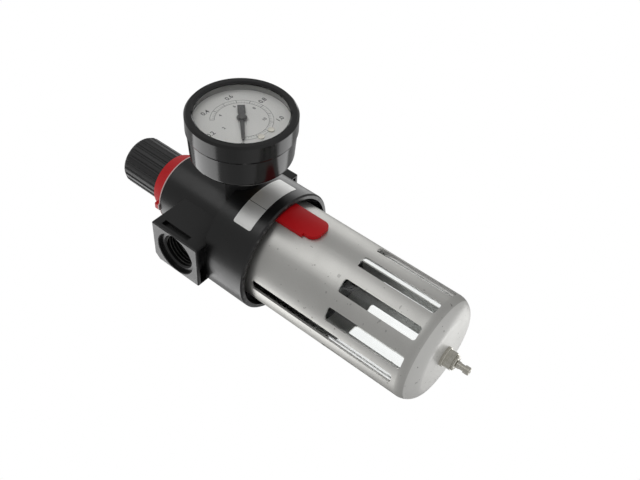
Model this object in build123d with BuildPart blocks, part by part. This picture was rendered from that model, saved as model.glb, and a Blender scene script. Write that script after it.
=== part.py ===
from build123d import *
import math
import os

# Filter regulator for compressed air, half-inch ports, with a pressure gauge.
# Millimetres. +Z runs up the main axis towards the knob, X along the ports, and the
# gauge faces -Y. The origin is where the port axis crosses the main axis.
# The inlet is at -X and the outlet at +X.

# Fits shared by the pieces
running = 0.05          # radial clearance of a turning or sliding fit
thread_clear = 0.05     # radial clearance of screwed pieces, drawn without their thread
seat_gap = 0.3          # gap under a piece that rests on a neighbour across a joint

# Body casting
port_span = 80.0        # face to face of the two ports
port_half_y = 13.4
port_half_z = 16.2
port_corner = 3.2       # cut along the upper rear edge of the port arms
port_edge = 0.7         # rounding of the port arms' edges
port_tap_r = 9.5        # half-inch pipe thread at its crests
port_tap_depth = 16.0
port_mouth_r = 10.3     # chamfered mouth of the thread
recess_r = 12.4         # recess in each port face, for the seal of a joined unit
recess_depth = 2.2
flange_t = 1.9          # square flange at the port face
port_tube_r = 14.4
port_wall = 1.0
slot_near = 2.6         # clamp slot, from the port face
slot_w = 3.2
slot_low = -7.2
slot_high = 11.4
slot_depth = 2.4
skirt_r = 34.7
skirt_wall = 2.5
skirt_low = -42.0
skirt_high = -14.5
shoulder_rise = 1.2     # slope of the shoulder between the skirt and the barrel
shoulder_round = 3.0
barrel_r = 20.8
barrel_top = 31.3
bonnet_seat = 28.0

# Inside of the body
bowl_socket_r = 26.9
deck_low = -18.0        # underside of the deck over the bowl
skirt_roof = -27.5
seat_low = -8.0
seat_high = -5.0
seat_outer_r = 8.5
seat_bore_r = 5.4
valve_room_r = 10.5
outlet_room_r = 12.0
outlet_room_top = 4.5
cylinder_floor = 6.5
cylinder_r = 16.0
passage_r = 7.4
inlet_drop_x = 19.5
inlet_drop_r = 5.6
outlet_slot_w = 14.0
outlet_slot_h = 8.6

# Gauge and rear port
gauge_z = -11.3
gauge_tap_r = 5.9
gauge_boss_r = 9.0
gauge_boss_y = 36.5
gauge_tap_depth = 9.5
sense_r = 1.6
feed_r = 1.3
feed_y = 18.0

# Bonnet, lock ring, knob and adjusting screw
bonnet_low = 18.0
bonnet_plug_r = 17.2
bonnet_flange_r = 18.4
bonnet_flange_t = 2.3
neck_r = 12.0
neck_top = 46.0
neck_roof = 40.0
vent_r = 1.0
spring_room_r = 10.4
ring_low_r = 20.9
ring_high_r = 16.2
ring_h = 11.0
ring_wall = 1.4
ring_web = 2.4
ring_lip = 0.6
tooth_count = 24
tooth_h = 2.2
tooth_w = 1.5
tooth_gap = 1.9
tooth_out_r = 14.6
knob_r = 14.4
knob_low = 41.8
knob_top = 69.5
knob_bore_r = 12.4
knob_ribs = 24
knob_rib = 1.0
knob_travel = 3.0       # push down to lock
hex_drive = 12.0        # across flats
hex_top = 61.0
screw_r = 4.0
collar_r = 6.5
collar_t = 2.2
washer_t = 0.8
nut_r = 9.8
nut_t = 3.6
nut_travel = 6.0
key_w = 3.0
key_depth = 1.0

# Sensing piston, regulating spring and valve
piston_low = 9.0
piston_t = 5.0
piston_hub_r = 4.0
piston_hub_low = 2.0
relief_r = 1.2
spring_mean_r = 7.2
spring_wire = 2.2
spring_turns = 4.5
valve_r = 7.2
valve_t = 2.0
valve_seal_t = 0.8
stem_r = 1.8
tail_r = 2.0
tail_low = -17.2
guide_top = -15.0
guide_tube_r = 6.0
guide_tube_bore = 4.4
guide_tube_low = -30.0
guide_flange_r = 12.6
guide_flange_t = 2.4
guide_seal_t = 0.8
guide_flow_r = 1.9
guide_flow_count = 6

# Filter under the deck
vane_count = 12
vane_t = 1.1
vane_slope = 38.0
deflector_r = 23.2
deflector_t = 5.6
element_r = 15.0
element_bore = 10.5
element_low = -73.0
baffle_r = 21.0
baffle_t = 3.0

# Bowl, guard and latch
bowl_r = 26.6
bowl_wall = 2.6
bowl_top = -19.0
bowl_low = -139.6
bowl_corner = 12.0
guard_r = 29.0
guard_wall = 1.2
guard_top = -27.8
guard_low = -142.6
guard_corner = 9.2
lug_r = 31.6
lug_t = 1.8
lug_angles = (-10.0, 110.0, 230.0)
lug_span = 34.0
ledge_span = 40.0
ledge_r = 30.2
ledge_t = 2.6
vent_pitch = 31.6       # spacing of the short windows, degrees
vent_centre = -90.9
vent_w = 7.4
vent_low = -133.5
vent_high = -89.0
vent_round = 1.4
sight_w = 5.9
sight_low = -131.0
sight_high = -44.0
sight_offset = 86.6
latch_out_r = 31.2
latch_in_r = 29.3
latch_top = -30.4
latch_low = -65.0
latch_half_w = 7.6
latch_step = 1.3
latch_step_z = -57.5
latch_boss_half = 3.4
window_top = -43.6
window_low = -60.0
latch_boss_low = -50.0
latch_spring_r = 1.0
neck_seal_z = -22.5
neck_groove_w = 1.9
neck_groove_depth = 1.6

# Drain
drain_r = 3.9
drain_flange_r = 7.0
drain_flange_t = 1.6
gasket_t = 0.8
drain_end = -149.6
drain_washer_r = 5.3
drain_washer_t = 1.6
drain_nut_af = 8.8
drain_nut_t = 4.0
barb_r = 2.1
barb_neck_r = 1.6
barb_tip = -157.0
drain_bore_r = 2.2
drain_well_r = 3.0
drain_well = -142.6
stem_head_r = 3.3
seal_t = 0.7
stem_bore_r = 0.8
press_gap = 0.02        # a seal just clear of its seat

# Gauge
bezel_r = 27.7
bezel_front = 77.2
bezel_back = 66.8
window_r = 23.3
lip_t = 1.5
lens_r = 26.0
lens_t = 1.6
case_back = 50.3
case_front_r = 27.1
case_back_r = 26.3
case_corner = 4.0
case_wall = 1.6
case_bore_r = 6.1
dial_y = 71.3
dial_t = 0.6
dial_r = 24.2
needle_len = 16.8
tail_len = 9.8
tail_half = 1.9
hub_r = 2.6
zero_angle = 225.0      # pointer at rest, counted from +X towards +Z
arbor_r = 0.7
dial_screw_r = 16.0
dial_screw_half = 13.0
dial_hole_r = 0.9
dial_head_t = 0.6
post_r = 2.2
gauge_hex = 14.0
gauge_hex_t = 6.7
port_seal_t = 0.8
port_seal_r = 8.2
plug_head_t = 2.2
plug_key = 6.0
socket_neck_r = 6.0
block_t = 7.6           # block inside the case that carries the pressure tube
block_top = 14.0
block_half = 3.0
duct_r = 1.2
tube_r = 12.5
tube_t = 1.4
tube_w = 5.0
tube_span = 250.0
plate_t = 1.0
plate_w = 14.0
plate_h = 12.0
pinion_r = 1.6
pointer_y = 72.2
pointer_t = 0.5

os.makedirs("parts", exist_ok=True)

port_x = port_span / 2
guard_in_r = guard_r - guard_wall
ring_low = bonnet_seat + bonnet_flange_t
ring_top = ring_low + ring_h
collar_high = neck_roof - washer_t - seat_gap
nut_high = collar_high - collar_t - seat_gap
knob_tooth_low = ring_low + ring_web + knob_travel + seat_gap
guide_flange_low = deck_low - guide_seal_t - guide_flange_t
bowl_floor = bowl_low + bowl_wall
drain_seat = bowl_floor + gasket_t + drain_flange_t
case_floor = case_back + case_wall
dial_back = dial_y - dial_t
dial_spots = [(dial_screw_r * math.cos(math.radians(a)), dial_screw_r * math.sin(math.radians(a)))
              for a in (-90 - dial_screw_half, -90 + dial_screw_half)]
gauge_axis = Axis((0, 0, gauge_z), (0, 1, 0))
gauge_half = Plane.XY.offset(gauge_z)


def section(points, plane=Plane.XZ):
    with BuildSketch(plane) as outline:
        with BuildLine():
            Polyline(*points, close=True)
        make_face()
    return outline.sketch


def gauge_plane(depth):
    return Plane(origin=(0, -depth, gauge_z), x_dir=(1, 0, 0), z_dir=(0, -1, 0))


def coil(name, radius, wire, low, high, turns, place=(0, 0)):
    with BuildPart() as spring:
        with BuildLine(Plane.XY.offset(low + wire / 2)) as path:
            rise = high - low - wire
            Helix(pitch=rise / turns, height=rise, radius=radius, center=(place[0], place[1], 0))
        with BuildSketch(Plane(origin=path.line @ 0, z_dir=path.line % 0)):
            RegularPolygon(wire / 2, 6)
        sweep(is_frenet=True)
    keep(spring, name)


def torus_ring(name, radius, half, level):
    with BuildPart() as seal:
        with BuildSketch(Plane.XZ):
            with Locations((radius, level)):
                Circle(half)
        revolve(axis=Axis.Z)
    keep(seal, name)


def cup_half(radius, low, high, corner):
    with BuildSketch(Plane.XZ) as outline:
        with BuildLine():
            Line((0, low), (radius - corner, low))
            CenterArc((radius - corner, low + corner), corner, -90, 90)
            Polyline((radius, low + corner), (radius, high), (0, high), (0, low))
        make_face()
    return outline.sketch


def sector(inner, outer, angle, span, plane):
    with BuildSketch(plane) as outline:
        with BuildLine():
            far = CenterArc((0, 0), outer, angle - span / 2, span)
            near = CenterArc((0, 0), inner, angle - span / 2, span)
            Line(far @ 0, near @ 0)
            Line(far @ 1, near @ 1)
        make_face()
    return outline.sketch


def window_plane(angle):
    turn = math.radians(angle)
    return Plane(origin=(0, 0, 0), x_dir=(-math.sin(turn), math.cos(turn), 0),
                 z_dir=(math.cos(turn), math.sin(turn), 0))


def keep(piece, name):
    piece.part.label = name
    export_step(piece.part, f"parts/{name}.step")


# Body casting with ports, skirt and gauge boss
def make_body():
    skirt_in = skirt_r - skirt_wall
    shoulder = skirt_high + shoulder_rise
    bonnet_well = bonnet_flange_r + seat_gap
    with BuildPart() as body:
        with BuildSketch(Plane.XZ):
            with BuildLine():
                Polyline((0, skirt_low), (skirt_r, skirt_low), (skirt_r, skirt_high),
                         (barrel_r + shoulder_round, shoulder))
                CenterArc((barrel_r + shoulder_round, shoulder + shoulder_round), shoulder_round,
                          -90, -90)
                Polyline((barrel_r, shoulder + shoulder_round), (barrel_r, barrel_top),
                         (0, barrel_top), (0, skirt_low))
            make_face()
        revolve(axis=Axis.Z)
        add(make_arms())
        with BuildSketch(Plane.XZ):
            with Locations((0, gauge_z)):
                Circle(gauge_boss_r)
        extrude(amount=gauge_boss_y, both=True)
        rims = body.edges().filter_by(GeomType.CIRCLE).filter_by(lambda e: abs(e.radius - skirt_r) < 0.01)
        chamfer(rims.sort_by(Axis.Z)[0], 0.8)
        # Skirt bore, bowl socket, valve room, seat, outlet room, piston cylinder, bonnet bore
        revolve(section([(0, skirt_low), (skirt_in, skirt_low), (skirt_in, skirt_roof),
                         (bowl_socket_r, skirt_roof), (bowl_socket_r, deck_low),
                         (valve_room_r, deck_low), (valve_room_r, seat_low),
                         (seat_outer_r, seat_low), (seat_outer_r, seat_high),
                         (outlet_room_r, seat_high), (outlet_room_r, outlet_room_top),
                         (piston_hub_r + 1.2, outlet_room_top), (piston_hub_r + 1.2, cylinder_floor),
                         (cylinder_r, cylinder_floor), (cylinder_r, bonnet_low),
                         (bonnet_plug_r, bonnet_low), (bonnet_plug_r, bonnet_seat),
                         (bonnet_well, bonnet_seat), (bonnet_well, barrel_top),
                         (0, barrel_top)]), axis=Axis.Z, mode=Mode.SUBTRACT)
        # Bayonet ledges inside the skirt
        for angle in lug_angles:
            ledge_plane = Plane.XY.offset(guard_top - lug_t - seat_gap - ledge_t)
            extrude(sector(ledge_r, skirt_in + 0.5, angle, ledge_span, ledge_plane), amount=ledge_t)
        # Ports, each with a recess in its face and a chamfered mouth
        for side in (-1, 1):
            bore = [(port_x, 0), (port_x, recess_r + 0.4), (port_x - 0.4, recess_r),
                    (port_x - recess_depth, recess_r), (port_x - recess_depth, port_mouth_r),
                    (port_x - recess_depth - port_mouth_r + port_tap_r, port_tap_r),
                    (port_x - port_tap_depth, port_tap_r), (port_x - port_tap_depth, 0)]
            revolve(section([(side * x, z) for x, z in bore]), axis=Axis.X, mode=Mode.SUBTRACT)
            for front in (-1, 1):
                with BuildSketch(Plane.XZ.offset(front * (port_half_y - slot_depth))):
                    with Locations((side * (port_x - slot_near - slot_w / 2), (slot_low + slot_high) / 2)):
                        Rectangle(slot_w, slot_high - slot_low)
                extrude(amount=front * slot_depth, mode=Mode.SUBTRACT)
            add(make_pocket(side), mode=Mode.SUBTRACT)
        # Passages from the ports to the deck and the outlet room
        with BuildSketch(Plane.YZ.offset(-port_x + port_tap_depth - 1)):
            Circle(passage_r)
        extrude(amount=port_x - port_tap_depth - inlet_drop_x + inlet_drop_r - 2, mode=Mode.SUBTRACT)
        with BuildSketch(Plane.XY.offset(deck_low)):
            with Locations((-inlet_drop_x, 0)):
                Circle(inlet_drop_r)
        extrude(amount=-deck_low, mode=Mode.SUBTRACT)
        with BuildSketch(Plane.YZ.offset(port_x - port_tap_depth + 1)):
            RectangleRounded(outlet_slot_w, outlet_slot_h, outlet_slot_h / 2 - 0.1)
        extrude(amount=-(port_x - port_tap_depth - outlet_room_r + 3), mode=Mode.SUBTRACT)
        # Gauge port, rear port and the drilling that feeds both
        for front in (-1, 1):
            with BuildSketch(Plane.XZ.offset(-front * gauge_boss_y)):
                with Locations((0, gauge_z)):
                    Circle(gauge_tap_r)
            extrude(amount=front * gauge_tap_depth, mode=Mode.SUBTRACT)
            with BuildSketch(Plane.XZ.offset(-front * gauge_boss_y)):
                with Locations((0, gauge_z)):
                    Circle(sense_r)
            extrude(amount=front * (gauge_boss_y - feed_y + 1), mode=Mode.SUBTRACT)
            with BuildSketch(Plane.XY.offset(gauge_z)):
                with Locations((0, front * feed_y)):
                    Circle(feed_r)
            extrude(amount=-gauge_z, mode=Mode.SUBTRACT)
        with BuildSketch(Plane.XZ):
            Circle(sense_r)
        extrude(amount=feed_y + 1, both=True, mode=Mode.SUBTRACT)
        # Sensing hole from the outlet room to the piston
        with BuildSketch(Plane.XY.offset(outlet_room_top - 1)):
            with Locations((0, 8.5)):
                Circle(sense_r)
        extrude(amount=4, mode=Mode.SUBTRACT)
    keep(body, "body")


# Port arms: one block through the body, with rounded edges
def make_arms():
    with BuildPart() as arms:
        with BuildSketch(Plane.YZ.offset(-port_x)):
            Polygon((-port_half_y, -port_half_z), (port_half_y, -port_half_z),
                    (port_half_y, port_half_z - port_corner), (port_half_y - port_corner, port_half_z),
                    (-port_half_y, port_half_z), align=None)
        extrude(amount=port_span)
        fillet(arms.edges(), port_edge)
    return arms.part


# Underside pockets behind the port flanges, left round the port tubes
def make_pocket(side):
    near = port_x - flange_t
    deep = near - skirt_r + 1.0
    with BuildPart() as pocket:
        with BuildSketch(Plane.XY.offset(-port_half_z - 1)):
            with Locations((side * (near - deep / 2), 0)):
                Rectangle(deep, 2 * (port_half_y - port_wall))
        extrude(amount=port_half_z - 2)
        with BuildSketch(Plane.YZ):
            Circle(port_tube_r)
        extrude(amount=side * port_x, mode=Mode.SUBTRACT)
    return pocket.part


# Valve seat insert pressed into the body
def make_valve_seat():
    lip = 0.6
    with BuildPart() as seat:
        revolve(section([(seat_bore_r, seat_low + lip), (seat_bore_r + 0.4, seat_low),
                         (seat_bore_r + 1.2, seat_low), (seat_bore_r + 1.6, seat_low + lip),
                         (seat_outer_r - 0.02, seat_low + lip), (seat_outer_r - 0.02, seat_high),
                         (seat_bore_r, seat_high)]), axis=Axis.Z)
    keep(seat, "valve_seat")


# Bonnet: threaded plug, flange and neck for the knob
def make_bonnet():
    plug = bonnet_plug_r - thread_clear
    with BuildPart() as bonnet:
        revolve(section([(spring_room_r, bonnet_low + 0.02), (plug - 1, bonnet_low + 0.02),
                         (plug, bonnet_low + 1), (plug, bonnet_seat),
                         (bonnet_flange_r, bonnet_seat), (bonnet_flange_r, ring_low),
                         (neck_r, ring_low), (neck_r, neck_top - 1), (neck_r - 1, neck_top),
                         (screw_r + 2 * running, neck_top), (screw_r + 2 * running, neck_roof),
                         (spring_room_r, neck_roof)]), axis=Axis.Z)
        # Two keyways that hold the adjusting nut from turning
        with BuildSketch(Plane.XY.offset(bonnet_low)):
            with PolarLocations(spring_room_r, 2, start_angle=90):
                Rectangle(2 * key_depth, key_w)
        extrude(amount=neck_roof - bonnet_low, mode=Mode.SUBTRACT)
        # Vent holes for relieved air
        with BuildSketch(Plane.YZ):
            with Locations((0, neck_roof - 3)):
                Circle(vent_r)
        extrude(amount=neck_r + 1, both=True, mode=Mode.SUBTRACT)
        # Four notches for the spanner in the flange
        with BuildSketch(Plane.XY.offset(bonnet_seat)):
            with PolarLocations(bonnet_flange_r, 4, start_angle=45):
                Rectangle(2.4, 5)
        extrude(amount=bonnet_flange_t, mode=Mode.SUBTRACT)
    keep(bonnet, "bonnet")


# Red lock ring: a flared collar whose inner teeth hold the pushed-down knob
def make_lock_ring():
    tooth_low = ring_low + ring_web
    rim_low = barrel_top + seat_gap
    with BuildPart() as ring:
        revolve(section([(neck_r + running, ring_low), (bonnet_flange_r, ring_low),
                         (bonnet_flange_r, rim_low), (ring_low_r, rim_low),
                         (ring_low_r, rim_low + ring_lip), (ring_low_r - 0.4, rim_low + ring_lip),
                         (ring_high_r, ring_top), (ring_high_r - ring_wall, ring_top),
                         (ring_low_r - ring_wall - 1, tooth_low),
                         (neck_r + running, tooth_low)]), axis=Axis.Z)
        # Inner teeth standing on the web
        with BuildSketch(Plane.XY.offset(tooth_low)):
            with PolarLocations((tooth_out_r + neck_r) / 2 + 0.6, tooth_count):
                Rectangle(tooth_out_r - neck_r - 0.6, tooth_w)
        extrude(amount=tooth_h)
        # Three grip lugs on the rim
        with BuildSketch(Plane.XY.offset(rim_low)):
            with PolarLocations(ring_low_r - 0.4, 3, start_angle=180):
                RectangleRounded(2.6, 4.4, 0.8)
        extrude(amount=3.0)
    keep(ring, "lock_ring")


# Knob: ribbed cap with a hexagonal socket and locking teeth
def make_knob():
    skirt_out = tooth_out_r - 0.6
    rim = 4.0
    dish = 0.8
    bore_top = neck_top + knob_travel + seat_gap
    with BuildPart() as knob:
        revolve(section([(0, knob_tooth_low), (skirt_out, knob_tooth_low), (skirt_out, knob_low),
                         (knob_r, knob_low), (knob_r, knob_top - 2.4), (knob_r - 0.9, knob_top - 0.8),
                         (knob_r - 2.2, knob_top), (knob_r - rim, knob_top),
                         (knob_r - rim - 0.6, knob_top - dish), (0, knob_top - dish)]), axis=Axis.Z)
        # Ribbed grip
        with BuildSketch(Plane.XY.offset(knob_low)):
            with PolarLocations(knob_r + 0.3, knob_ribs):
                Circle(knob_rib)
        extrude(amount=knob_top - knob_low, mode=Mode.SUBTRACT)
        with BuildSketch(Plane.XY.offset(knob_tooth_low)):
            Circle(knob_bore_r)
        extrude(amount=bore_top - knob_tooth_low, mode=Mode.SUBTRACT)
        # Gaps between the locking teeth
        with BuildSketch(Plane.XY.offset(knob_tooth_low)):
            with PolarLocations(skirt_out, tooth_count):
                Rectangle(4, tooth_gap)
        extrude(amount=tooth_h + seat_gap, mode=Mode.SUBTRACT)
        with BuildSketch(Plane.XY.offset(bore_top)):
            RegularPolygon(hex_drive / 2 + running, 6, major_radius=False)
        extrude(amount=hex_top + knob_travel + seat_gap - bore_top, mode=Mode.SUBTRACT)
    keep(knob, "knob")


# Adjusting screw: hexagon for the knob, thrust collar under the bonnet roof, thread
def make_adjusting_screw():
    low = nut_high - nut_t - nut_travel - 2.8
    with BuildPart() as screw:
        revolve(section([(0, low), (screw_r - 0.8, low), (screw_r, low + 0.8),
                         (screw_r, collar_high - collar_t), (collar_r, collar_high - collar_t),
                         (collar_r, collar_high), (screw_r, collar_high),
                         (screw_r, neck_top + seat_gap), (0, neck_top + seat_gap)]), axis=Axis.Z)
        with BuildSketch(Plane.XY.offset(neck_top + seat_gap)):
            RegularPolygon(hex_drive / 2, 6, major_radius=False)
        extrude(amount=hex_top - neck_top - seat_gap)
        chamfer(screw.faces().sort_by(Axis.Z)[-1].edges(), 0.6)
    keep(screw, "adjusting_screw")


# Thrust washer between the collar and the bonnet roof
def make_thrust_washer():
    with BuildPart() as washer:
        with BuildSketch(Plane.XY.offset(neck_roof - washer_t)):
            Circle(collar_r)
            Circle(screw_r + 2 * running, mode=Mode.SUBTRACT)
        extrude(amount=washer_t)
    keep(washer, "thrust_washer")


# Adjusting nut: slides down as the screw turns and presses the spring
def make_adjusting_nut():
    spigot = 1.6
    with BuildPart() as nut:
        with BuildSketch(Plane.XY.offset(nut_high - nut_t)):
            Circle(nut_r)
            with PolarLocations(spring_room_r - 0.1, 2, start_angle=90):
                Rectangle(2 * key_depth - 0.6, key_w - 0.3)
        extrude(amount=nut_t)
        with BuildSketch(Plane.XY.offset(nut_high - nut_t - spigot)):
            Circle(spring_mean_r - spring_wire / 2 - 0.4)
        extrude(amount=spigot)
        with BuildSketch(Plane.XY.offset(nut_high)):
            Circle(screw_r + running)
        extrude(amount=-nut_t - spigot, mode=Mode.SUBTRACT)
    keep(nut, "adjusting_nut")


# Sensing piston with its relief bore, and its lip seal
def make_piston():
    top = piston_low + piston_t
    groove = 1.9
    mid = piston_low + piston_t / 2
    with BuildPart() as piston:
        revolve(section([(relief_r, piston_hub_low), (piston_hub_r, piston_hub_low),
                         (piston_hub_r, piston_low), (cylinder_r - running, piston_low),
                         (cylinder_r - running, mid - groove / 2),
                         (cylinder_r - 2, mid - groove / 2), (cylinder_r - 2, mid + groove / 2),
                         (cylinder_r - running, mid + groove / 2), (cylinder_r - running, top),
                         (spring_mean_r + spring_wire, top), (spring_mean_r + spring_wire, top - 1.2),
                         (spring_mean_r - spring_wire / 2 - 0.4, top - 1.2),
                         (spring_mean_r - spring_wire / 2 - 0.4, top + 1.0),
                         (relief_r, top + 1.0)]), axis=Axis.Z)
    keep(piston, "sensing_piston")
    torus_ring("piston_seal", cylinder_r - 1.0, 0.94, mid)


# Poppet valve: brass disc and stem with a rubber face
def make_valve():
    face = seat_low - 0.05
    with BuildPart() as valve:
        revolve(section([(0, tail_low), (tail_r, tail_low), (tail_r, face - valve_t),
                         (valve_r, face - valve_t), (valve_r, face - valve_seal_t),
                         (stem_r, face - valve_seal_t), (stem_r, piston_hub_low - 0.7),
                         (stem_r - 0.9, piston_hub_low - 0.02), (0, piston_hub_low - 0.02)]),
                axis=Axis.Z)
    keep(valve, "valve_poppet")
    with BuildPart() as facing:
        with BuildSketch(Plane.XY.offset(face - valve_seal_t)):
            Circle(valve_r)
            Circle(stem_r, mode=Mode.SUBTRACT)
        extrude(amount=valve_seal_t)
    keep(facing, "valve_facing")


# Valve guide: screwed under the deck, guides the stem and carries the filter
def make_valve_guide():
    plug = valve_room_r - thread_clear
    high = deck_low - guide_seal_t
    with BuildPart() as guide:
        revolve(section([(tail_r + running, guide_top), (plug, guide_top), (plug, high),
                         (guide_flange_r, high), (guide_flange_r, guide_flange_low),
                         (guide_tube_r, guide_flange_low), (guide_tube_r, guide_tube_low),
                         (guide_tube_bore, guide_tube_low), (guide_tube_bore, guide_flange_low),
                         (tail_r + running, guide_flange_low)]), axis=Axis.Z)
        # Flow holes round the stem guide
        with BuildSketch(Plane.XY.offset(guide_top)):
            with PolarLocations(guide_flow_r + guide_tube_r + 0.1, guide_flow_count):
                Circle(guide_flow_r)
        extrude(amount=guide_flange_low - guide_top, mode=Mode.SUBTRACT)
    keep(guide, "valve_guide")
    with BuildPart() as seal:
        with BuildSketch(Plane.XY.offset(high)):
            Circle(guide_flange_r - 0.3)
            Circle(valve_room_r, mode=Mode.SUBTRACT)
        extrude(amount=guide_seal_t)
    keep(seal, "guide_seal")


# Swirl deflector: a ring of slanted vanes between a hub and a rim
def make_deflector():
    low = deck_low - deflector_t
    hub_in = guide_flange_r + 1.1
    hub_out = hub_in + 1.6
    rim_in = deflector_r - 1.4
    with BuildPart() as deflector:
        with BuildSketch(Plane.XY.offset(low)):
            Circle(deflector_r)
            Circle(rim_in, mode=Mode.SUBTRACT)
            Circle(hub_out)
            Circle(hub_in, mode=Mode.SUBTRACT)
        extrude(amount=deflector_t)
        # Seat for the filter element
        with BuildSketch(Plane.XY.offset(low)):
            Circle(hub_in + 0.5)
            Circle(element_bore - seat_gap, mode=Mode.SUBTRACT)
        extrude(amount=guide_flange_low - low - seat_gap)
        with Locations(Plane.XY.offset(low + deflector_t / 2)):
            with PolarLocations((hub_out + rim_in) / 2, vane_count):
                Box(rim_in - hub_out + 1.2, vane_t, deflector_t - 0.4, rotation=(vane_slope, 0, 0))
    keep(deflector, "deflector")


# Filter element: sintered tube between the deflector and the baffle
def make_filter():
    top = deck_low - deflector_t
    with BuildPart() as element:
        with BuildSketch(Plane.XY.offset(element_low)):
            Circle(element_r)
            Circle(element_bore, mode=Mode.SUBTRACT)
        extrude(amount=top - element_low)
    keep(element, "filter_element")


# Baffle: umbrella under the filter, with a stud that screws into the valve guide
def make_baffle():
    low = element_low - baffle_t
    cup = element_r + seat_gap
    stud = guide_tube_bore - thread_clear
    stud_top = guide_tube_low + 6
    with BuildPart() as baffle:
        revolve(section([(0, low), (baffle_r - 1, low - 2), (baffle_r, low - 2), (baffle_r, low),
                         (cup + 1.2, element_low), (cup + 1.2, element_low + 2),
                         (cup, element_low + 2), (cup, element_low),
                         (stud + 1.5, element_low), (stud + 1.5, element_low + 3),
                         (stud, element_low + 5), (stud, stud_top), (0, stud_top)]), axis=Axis.Z)
        # Ribs that keep the water in the bowl still
        with Locations(Plane.XY.offset(low - 1.2)):
            with PolarLocations(0, 4, angular_range=180):
                Box(2 * baffle_r - 3, 1.2, 4)
    keep(baffle, "baffle")


# Clear bowl: cup with a grooved neck, a centring shoulder and a foot round the drain
def make_bowl():
    shoulder = guard_in_r - 0.1
    groove_low = neck_seal_z - neck_groove_w / 2
    foot = guard_low + guard_wall
    with BuildPart() as bowl:
        revolve(cup_half(bowl_r, bowl_low, bowl_top, bowl_corner), axis=Axis.Z)
        revolve(section([(bowl_r - 1, guard_top - 6.3), (shoulder, guard_top - 5.2),
                         (shoulder, guard_top - 3.2), (bowl_r - 1, guard_top - 3.2)]), axis=Axis.Z)
        with BuildSketch(Plane.XY.offset(foot)):
            Circle(drain_flange_r + 1)
        extrude(amount=bowl_low - foot + 1)
        revolve(cup_half(bowl_r - bowl_wall, bowl_floor, bowl_top, bowl_corner - bowl_wall),
                axis=Axis.Z, mode=Mode.SUBTRACT)
        with BuildSketch(Plane.XY.offset(groove_low)):
            Circle(bowl_r + 1)
            Circle(bowl_r - neck_groove_depth, mode=Mode.SUBTRACT)
        extrude(amount=neck_groove_w, mode=Mode.SUBTRACT)
        with BuildSketch(Plane.XY.offset(foot)):
            Circle(drain_r + thread_clear)
        extrude(amount=bowl_floor - foot, mode=Mode.SUBTRACT)
    keep(bowl, "bowl")
    torus_ring("bowl_seal", (bowl_socket_r + bowl_r - neck_groove_depth) / 2, 0.9, neck_seal_z)


# Bowl guard: drawn metal sleeve with windows, bayonet lugs and a domed bottom
def make_guard():
    long_at = vent_centre - sight_offset
    with BuildPart() as guard:
        revolve(cup_half(guard_r, guard_low, guard_top, guard_corner), axis=Axis.Z)
        revolve(cup_half(guard_in_r, guard_low + guard_wall, guard_top, guard_corner - guard_wall),
                axis=Axis.Z, mode=Mode.SUBTRACT)
        # Short windows and the two long sight windows
        for half in (0, 180):
            for step in range(-2, 3):
                with BuildSketch(window_plane(vent_centre + vent_pitch * step + half)):
                    with Locations((0, (vent_low + vent_high) / 2)):
                        RectangleRounded(vent_w, vent_high - vent_low, vent_round)
                extrude(amount=guard_r + 1, mode=Mode.SUBTRACT)
            with BuildSketch(window_plane(long_at + half)):
                with Locations((0, (sight_low + sight_high) / 2)):
                    RectangleRounded(sight_w, sight_high - sight_low, vent_round)
            extrude(amount=guard_r + 1, mode=Mode.SUBTRACT)
        # Window for the latch
        with BuildSketch(Plane.XZ.offset(guard_in_r - 2)):
            with Locations((0, (window_top + window_low) / 2)):
                Rectangle(2 * latch_boss_half + 2 * seat_gap, window_top - window_low)
        extrude(amount=4, mode=Mode.SUBTRACT)
        with BuildSketch(Plane.XY.offset(guard_low)):
            Circle(drain_r + thread_clear)
        extrude(amount=guard_wall, mode=Mode.SUBTRACT)
        # Bayonet lugs
        lug_plane = Plane.XY.offset(guard_top - lug_t)
        for angle in lug_angles:
            extrude(sector(guard_r - 0.5, lug_r, angle, lug_span, lug_plane), amount=lug_t)
    keep(guard, "bowl_guard")


# Latch: red slide on the guard with a boss through its window and a spring behind
def make_latch():
    deep = latch_out_r + 4
    with BuildPart() as latch:
        with BuildSketch(Plane.XZ):
            with BuildLine():
                left = latch_half_w
                low_left = latch_half_w - latch_step
                bend = 5.0
                Polyline((-left, latch_step_z), (-left, latch_top), (left, latch_top),
                         (left, latch_low + bend))
                CenterArc((left - bend, latch_low + bend), bend, 0, -90)
                Line((left - bend, latch_low), (-low_left + bend, latch_low))
                CenterArc((-low_left + bend, latch_low + bend), bend, -90, -90)
                Polyline((-low_left, latch_low + bend), (-low_left, latch_step_z),
                         (-left, latch_step_z))
            make_face()
        extrude(amount=deep)
        with BuildSketch(Plane.XY.offset(latch_low - 1)):
            Circle(latch_out_r)
            Circle(latch_in_r, mode=Mode.SUBTRACT)
        extrude(amount=latch_top - latch_low + 2, mode=Mode.INTERSECT)
        # Boss through the window
        boss_top = window_top - 0.4
        with BuildSketch(Plane.XZ.offset(guard_in_r - 0.3)):
            with Locations((0, (boss_top + latch_boss_low) / 2)):
                Rectangle(2 * latch_boss_half, boss_top - latch_boss_low)
        extrude(amount=latch_out_r - guard_in_r - 0.2)
        # Pocket for the return spring
        with BuildSketch(Plane.XZ.offset(guard_in_r)):
            with Locations((0, (latch_boss_low + window_low - 2.4) / 2)):
                Rectangle(2 * latch_spring_r + 1.4, latch_boss_low - window_low + 2.4)
        extrude(amount=latch_out_r - guard_in_r - 0.7, mode=Mode.SUBTRACT)
    keep(latch, "latch_button")
    coil("latch_spring", latch_spring_r, 0.4, window_low, latch_boss_low, 7,
         (0, -(guard_in_r + guard_r) / 2 - 0.3))


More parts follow.
